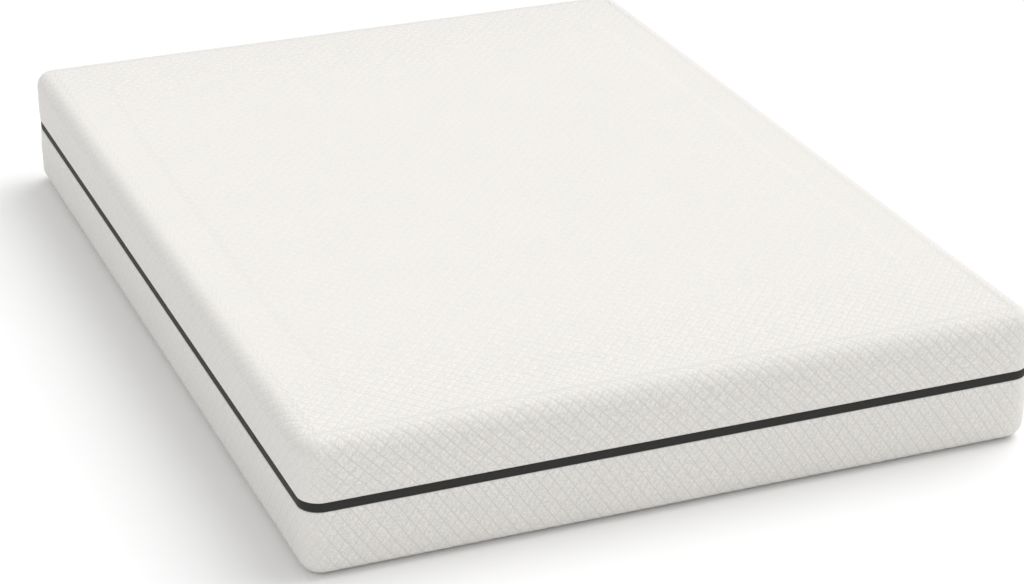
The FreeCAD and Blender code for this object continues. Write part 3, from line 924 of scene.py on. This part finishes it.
class MATTRESS_OT_lower_border(bpy.types.Operator):
    """Build the quilted lower half of the cover's sides."""

    bl_idname = "mattress.lower_border"
    bl_label = "Lower border"

    def execute(self, context):
        profile = lower_outside_profile(LOWER_ROWS)
        run = Skin(Outline(scale=SCALE)).ring(*profile[0]).follow(profile[1:])
        coarse = run.mesh("border_run")
        source = coordinates(coarse)
        reach = lower_reach(source)
        held = (source[:, 2] > BAND_BOTTOM - 5 * MM) | (source[:, 2] < 1 * MM)
        moved = swollen(coarse, held, reach)
        skin = Skin(fine_outline())
        top = BOX["lower_border"][1].z
        skin.row = -2.0
        skin.ring(COVER_LIP, top - CLOTH)
        first_rim = skin.rim
        skin.part = LIP
        skin.follow(in_mm(LIP_ROWS[::-1], top, -1), 0.4)
        skin.part = OUTSIDE
        skin.row = -1.0
        fine_profile = lower_outside_profile(2 * LOWER_ROWS)
        skin.follow(fine_profile)
        seam, _, radius = fine_profile[-1]
        skin.part = 0
        skin.grow(seam, CLOTH, radius)
        skin.grow(BASE_ROLL, CLOTH)
        for turn in TURNS:
            r = BASE_ROLL - CLOTH
            skin.grow(BASE_ROLL - r * math.sin(turn), BASE_ROLL - r * math.cos(turn))
        skin.grow(CLOTH, top - CLOTH)
        skin.join(first_rim)

        def hem(z):
            below = np.clip((BAND_BOTTOM - 4.5 * MM - z) / (6 * MM), 0, 1)
            return below * np.clip(z / (12 * MM), 0, 1)

        mesh = finish_padding(skin, "lower_border_quilted", source, moved, hem)
        piece = show(mesh, "lower_border_quilted", "quilted_knit", "lower_cover", "lower_border")
        return {"FINISHED"}


def strip(outline, low_z, high_z, outer, inner, bulge=0.0, rows=4, edge=0.25 * MM):
    """A closed band round the mattress, with rounded edges and a slightly crowned face."""
    skin = Skin(outline)
    skin.ring(inner, low_z + edge)
    first = skin.rim
    skin.grow(inner + (outer - inner) * 0.3, low_z)
    skin.grow(outer + edge * 0.3, low_z)
    for n in range(rows + 1):
        share = n / rows
        z = low_z + edge + (high_z - low_z - 2 * edge) * share
        skin.grow(outer - bulge * math.sin(share * math.pi), z)
    skin.grow(outer + edge * 0.3, high_z)
    skin.grow(inner + (outer - inner) * 0.3, high_z)
    skin.grow(inner, high_z - edge)
    skin.join(first)
    return skin


class MATTRESS_OT_border_band(bpy.types.Operator):
    """Build the woven band between the two halves, open where the zip parks."""

    bl_idname = "mattress.border_band"
    bl_label = "Border band"

    def execute(self, context):
        low, high = BOX["border_band"]
        skin = strip(fine_outline(), low.z, high.z, 1.0 * MM, 2.2 * MM, 0.5 * MM, 8)
        skin.cut_gap(*ZIP_PARK)
        mesh = skin.mesh("border_band_woven")
        piece = show(mesh, "border_band_woven", "band_weave", "upper_cover", "border_band")
        return {"FINISHED"}


class MATTRESS_OT_zip(bpy.types.Operator):
    """Build the zip's tapes and coils and finish its hard parts."""

    bl_idname = "mattress.zip"
    bl_label = "Zip"

    def execute(self, context):
        rounded = Outline(120, 168, 4, 0.06)
        for half, body in (("upper", "upper_cover"), ("lower", "lower_cover")):
            low, high = BOX[f"{half}_zip_tape"]
            skin = strip(rounded, low.z, high.z, 10.0 * MM, 10.7 * MM, 0.0, 2, 0.1 * MM)
            name = f"{half}_zip_tape_woven"
            piece = show(skin.mesh(name), name, "zip_tape", body, f"{half}_zip_tape")
            self.coil(half, body)
        for node in ("upper_zip_stop", "lower_zip_stop", "zip_insertion_pin", "zip_retainer_box"):
            dress(node, "zip_ends")
        dress("zip_slider_body", "slider_metal")
        dress("zip_pull_tab", "slider_metal")
        return {"FINISHED"}

    def coil(self, half, body):
        """One coil half: a rounded cord whose loops stand out one after another."""
        low, high = BOX[f"{half}_zip_coil"]
        loops = Outline(880, 1240, 16, 0.02)
        middle = (low.z + high.z) / 2
        inset = 9.0 * MM
        skin = Skin(loops)
        first = None
        turns = 8
        for n in range(turns):
            angle = math.tau * n / turns
            points = []
            outer = loops.ring(inset, 0.0)
            for k, (x, y, _) in enumerate(outer):
                size = 1.0 if k % 2 else 0.80
                _, _, nx, ny = loops.spots[k]
                out = math.cos(angle) * 0.96 * MM * size
                up = math.sin(angle) * 1.36 * MM * size
                points.append((x + nx * out, y + ny * out, middle + up))
            if n == 0:
                skin.ring(inset, middle)
                for v, point in zip(skin.rim, points):
                    v.co = point
                first = skin.rim
            else:
                skin.grow(0, 0, points=points)
        skin.join(first)
        start = 0.498 if half == "upper" else 0.513
        skin.cut_gap(start, 0.5338)
        name = f"{half}_zip_coil_loops"
        show(skin.mesh(name, smooth=False), name, "zip_coil", body, f"{half}_zip_coil")


def dress(node, slot):
    """Gives a CAD piece that stays its finish."""
    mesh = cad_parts[node].data
    mesh.materials.clear()
    mesh.materials.append(finish(slot))


class MATTRESS_OT_wadding(bpy.types.Operator):
    """Build the fibre wadding behind both halves of the cover."""

    bl_idname = "mattress.wadding"
    bl_label = "Wadding"

    def execute(self, context):
        low, high = BOX["top_cover_wadding"]
        self.shell("top_cover_wadding", "upper_cover", TOP_ROLL, high.z, low.z, 1)
        low, high = BOX["lower_cover_wadding"]
        self.shell("lower_cover_wadding", "lower_cover", BASE_ROLL, -low.z, -high.z, -1)
        return {"FINISHED"}

    def shell(self, node, body, roll, top, rim, sign):
        """An 8 mm shell, open on one side. The lower one is made upside down, with a sign of -1."""
        skin = Skin(Outline(82, 102, 3, SCALE * 2))
        skin.lid(roll, sign * top)
        outer = roll_profile(top, roll - CLOTH, rim, 10)
        skin.follow([(i + CLOTH, sign * z) for i, z in outer])
        skin.grow(COVER_LIP, sign * rim)
        outer_rim = skin.rim
        skin.lid(roll, sign * (top - WADDING))
        inner = roll_profile(top - WADDING, roll - COVER_LIP, rim + MM, 8)
        skin.follow([(i + COVER_LIP, sign * z) for i, z in inner])
        skin.join(outer_rim)
        name = node + "_fibre"
        show(skin.mesh(name), name, "wadding", body, node)


class MATTRESS_OT_base_panel(bpy.types.Operator):
    """Build the plain cloth under the mattress and the blank care label."""

    bl_idname = "mattress.base_panel"
    bl_label = "Base panel and label"

    def execute(self, context):
        low, high = BOX["base_panel"]
        inset = HALF_WIDTH - high.x
        radius = PANEL_CORNER
        skin = Skin(Outline(40, 52, 6, 0.1))
        skin.lid(inset + 2 * MM, high.z, radius - 2 * MM)
        skin.grow(inset, high.z - 0.5 * MM, radius)
        skin.grow(inset, low.z + 0.3 * MM, radius)
        skin.grow(inset + 1 * MM, low.z, radius - 1 * MM)
        outer_rim = skin.rim
        skin.lid(inset + 3 * MM, low.z, radius - 3 * MM)
        skin.join(outer_rim)
        mesh = skin.mesh("base_panel_cloth")
        piece = show(mesh, "base_panel_cloth", "base_cloth", "lower_cover", "base_panel")
        self.label()
        return {"FINISHED"}

    def label(self):
        """The label lies on the quilting's high spots and curls away at its lower edge."""
        low, high = BOX["care_label"]
        bm = bmesh.new()
        bmesh.ops.create_grid(bm, x_segments=24, y_segments=16, size=1.0)
        centre = (low + high) / 2
        size = (high - low) / 2
        bmesh.ops.transform(bm, matrix=Matrix.Rotation(-math.pi / 2, 4, "X"), verts=bm.verts)
        cloth = bpy.data.objects["lower_border_quilted"].data
        faces = [p.vertices for p in cloth.polygons]
        border = BVHTree.FromPolygons([v.co for v in cloth.vertices], faces)

        def cloth_face(x, z):
            """How far out the quilting's high spots stand round that place on the head face."""
            hits = []
            for dx in (-8 * MM, 0.0, 8 * MM):
                for dz in (-8 * MM, 0.0, 8 * MM):
                    start = (x + dx, high.y + 0.1, z + dz)
                    hits.append(border.ray_cast(start, (0.0, -1.0, 0.0))[0].y)
            return max(hits)

        for v in bm.verts:
            x = centre.x + v.co.x * size.x * 0.995
            z = centre.z + v.co.z * size.z * 0.995
            curl = 0.6 * MM * max(0.0, -v.co.z) ** 3
            v.co = (x, cloth_face(x, z) + 0.6 * MM + curl, z)
        bmesh.ops.solidify(bm, geom=bm.faces, thickness=0.5 * MM)
        bmesh.ops.recalc_face_normals(bm, faces=bm.faces)
        mesh = bpy.data.meshes.new("care_label_satin")
        bm.to_mesh(mesh)
        bm.free()
        mesh.shade_smooth()
        piece = show(mesh, "care_label_satin", "label_satin", "lower_cover", "care_label")


class MATTRESS_OT_foam_core(bpy.types.Operator):
    """Build the barrier sock and the three foam layers in it."""

    bl_idname = "mattress.foam_core"
    bl_label = "Foam core and sock"

    def execute(self, context):
        self.sock()
        for node, slot in (
            ("memory_foam_layer", "memory_foam"),
            ("transition_foam_layer", "transition_foam"),
            ("support_foam_core", "support_foam"),
        ):
            self.block(node, slot)
        return {"FINISHED"}

    def sock(self):
        low, high = BOX["fire_barrier_sock"]
        inset = HALF_WIDTH - high.x
        roll = TOP_ROLL - 12 * MM
        skin = Skin(Outline(140, 180, 4, 0.4))
        skin.part = OUTSIDE
        skin.lid(inset + roll, high.z)
        under = 20 * MM
        skin.follow([(i + inset, z) for i, z in roll_profile(high.z, roll, low.z + under, 26)])
        for turn in TURNS:
            skin.grow(inset + under * (1 - math.cos(turn)), low.z + under * (1 - math.sin(turn)))
        mouth = 90 * MM
        skin.grow(60 * MM, low.z, PANEL_CORNER)
        skin.grow(mouth, low.z, PANEL_CORNER)
        skin.part = 0
        skin.grow(mouth, low.z + SOCK, PANEL_CORNER)
        skin.grow(60 * MM, low.z + SOCK, PANEL_CORNER)
        for turn in (math.pi / 2, 0.8, 0.0):
            reach = under - SOCK
            skin.grow(inset + under - reach * math.cos(turn), low.z + under - reach * math.sin(turn))
        outer_rim = skin.rim
        skin.lid(inset + roll, high.z - SOCK)
        inner = roll_profile(high.z - SOCK, roll - SOCK, low.z + 24 * MM, 8)
        skin.follow([(i + inset + SOCK, z) for i, z in inner])
        skin.join(outer_rim)
        mesh = skin.mesh("fire_barrier_sock_knit")
        co = coordinates(mesh)
        normal = vertex_normals(mesh)
        x, y, z = co[:, 0], co[:, 1], co[:, 2]
        around = x + y
        ripple = np.sin(around * 61 + 3 * np.sin(z * 19)) * np.sin(z * 33 + around * 7) * 0.5 + 0.5
        ripple = ripple * np.clip((high.z - 15 * MM - z) / (60 * MM), 0, 1)
        ripple[~part_is(mesh, OUTSIDE)] = 0
        ripple[z < low.z + 3 * MM] = 0
        set_coordinates(mesh, co - normal * (ripple * 0.8 * MM)[:, None])
        piece = show(mesh, "fire_barrier_sock_knit", "barrier_knit", "foam_core", "fire_barrier_sock")

    def block(self, node, slot):
        low, high = BOX[node]
        inset = HALF_WIDTH - high.x
        top_roll = TOP_ROLL - 12.3 * MM if node == "memory_foam_layer" else 1.5 * MM
        name = node.replace("_layer", "").replace("_core", "") + "_block"
        skin = Skin(Outline(60, 80, 4, 0.1))
        skin.lid(inset + top_roll, high.z)
        for i, z in roll_profile(high.z, top_roll, low.z + 1.5 * MM, 10):
            skin.grow(inset + i, z)
        base = 18 * MM if node == "support_foam_core" else 1.5 * MM
        skin.grow(inset + base * 0.3, low.z + base * 0.3 if base < 2 * MM else low.z + 3 * MM)
        skin.grow(inset + base, low.z)
        outer_rim = skin.rim
        skin.lid(inset + base + 6 * MM, low.z)
        skin.join(outer_rim)
        piece = show(skin.mesh(name), name, slot, "foam_core", node)


SUN_PLACE = (104, 57)
SUN_STRENGTH = 1.62
SUN_SPREAD = math.radians(50)
AIR_STRENGTH = 0.70
CAMERA_PLACE = (-21.594, 24.688)
CAMERA_ROLL = math.radians(-0.176)
CAMERA_TARGET = Vector((0.0525, -0.0117, 1.55 * MM))
CAMERA_DISTANCE = 5.7091
SENSOR_WIDTH = 36.0
FOCAL_SHARE = 2832.94 / 1024


def towards(azimuth, elevation):
    """Direction from the mattress to a place round it, in degrees from the front of the foot."""
    a = math.radians(azimuth)
    e = math.radians(elevation)
    return Vector((math.sin(a) * math.cos(e), -math.cos(a) * math.cos(e), math.sin(e)))


class MATTRESS_OT_stage(bpy.types.Operator):
    """Lay the pale floor, hang the lights and set the camera."""

    bl_idname = "mattress.stage"
    bl_label = "Stage"

    def execute(self, context):
        scene = context.scene
        scene.view_settings.view_transform = "Standard"
        self.floor(scene)
        self.lights(scene)
        self.camera(scene)
        return {"FINISHED"}

    def floor(self, scene):
        bm = bmesh.new()
        bmesh.ops.create_circle(bm, cap_ends=True, radius=60.0, segments=96)
        mesh = bpy.data.meshes.new("studio_floor")
        bm.to_mesh(mesh)
        bm.free()
        mesh.shade_flat()
        floor = bpy.data.objects.new("studio_floor", mesh)
        scene.collection.objects.link(floor)
        paper = Finish("studio_paper", 1.0, Specular_IOR_Level=0.0)
        cloudy = paper.noise(paper.place(), 0.6, 2.0)
        colour = paper.mix(cloudy, (0.935, 0.935, 0.935), (0.945, 0.945, 0.945))
        mesh.materials.append(paper.paint(colour))

    def lights(self, scene):
        world = bpy.data.worlds.new("studio_air")
        world.use_nodes = True
        back = world.node_tree.nodes["Background"]
        back.inputs["Color"].default_value = (1.0, 1.0, 1.0, 1.0)
        back.inputs["Strength"].default_value = AIR_STRENGTH
        scene.world = world
        lamp = bpy.data.lights.new("window_light", "SUN")
        lamp.energy = SUN_STRENGTH
        lamp.angle = SUN_SPREAD
        ob = bpy.data.objects.new("window_light", lamp)
        direction = towards(*SUN_PLACE)
        ob.location = direction * 5
        ob.rotation_mode = "QUATERNION"
        ob.rotation_quaternion = direction.to_track_quat("Z", "Y")
        scene.collection.objects.link(ob)

    def camera(self, scene):
        back = towards(*CAMERA_PLACE)
        right = (-back).cross(Vector((0, 0, 1))).normalized()
        up = right.cross(-back)
        turned_right = right * math.cos(CAMERA_ROLL) + up * math.sin(CAMERA_ROLL)
        turned_up = up * math.cos(CAMERA_ROLL) - right * math.sin(CAMERA_ROLL)
        data = bpy.data.cameras.new("camera")
        data.sensor_width = SENSOR_WIDTH
        data.lens = FOCAL_SHARE * SENSOR_WIDTH
        camera = bpy.data.objects.new("camera", data)
        turn = Matrix((turned_right, turned_up, back)).transposed().to_4x4()
        stand = CAMERA_TARGET + back * CAMERA_DISTANCE
        camera.matrix_world = Matrix.Translation(stand) @ turn
        scene.collection.objects.link(camera)
        scene.camera = camera


OPERATORS = (
    MATTRESS_OT_stage,
    MATTRESS_OT_top_cover,
    MATTRESS_OT_lower_border,
    MATTRESS_OT_border_band,
    MATTRESS_OT_zip,
    MATTRESS_OT_wadding,
    MATTRESS_OT_base_panel,
    MATTRESS_OT_foam_core,
)


class MATTRESS_PT_sidebar(bpy.types.Panel):
    """Lists the mattress's sizes, colours and pieces."""

    bl_idname = "MATTRESS_PT_sidebar"
    bl_label = "Mattress"
    bl_space_type = "VIEW_3D"
    bl_region_type = "UI"
    bl_category = "Mattress"

    def draw(self, context):
        settings = context.scene.mattress_looks
        for name in MattressLooks.__annotations__:
            self.layout.prop(settings, name)
        for operator in OPERATORS:
            self.layout.operator(operator.bl_idname)


CLASSES = (MattressLooks, *OPERATORS, MATTRESS_PT_sidebar)


def register():
    for c in CLASSES:
        bpy.utils.register_class(c)
    bpy.types.Scene.mattress_looks = PointerProperty(type=MattressLooks)


def unregister():
    del bpy.types.Scene.mattress_looks
    for c in reversed(CLASSES):
        bpy.utils.unregister_class(c)


def main():
    register()
    for operator in OPERATORS:
        group, action = operator.bl_idname.split(".")
        getattr(getattr(bpy.ops, group), action)()


if __name__ == "__main__":
    main()
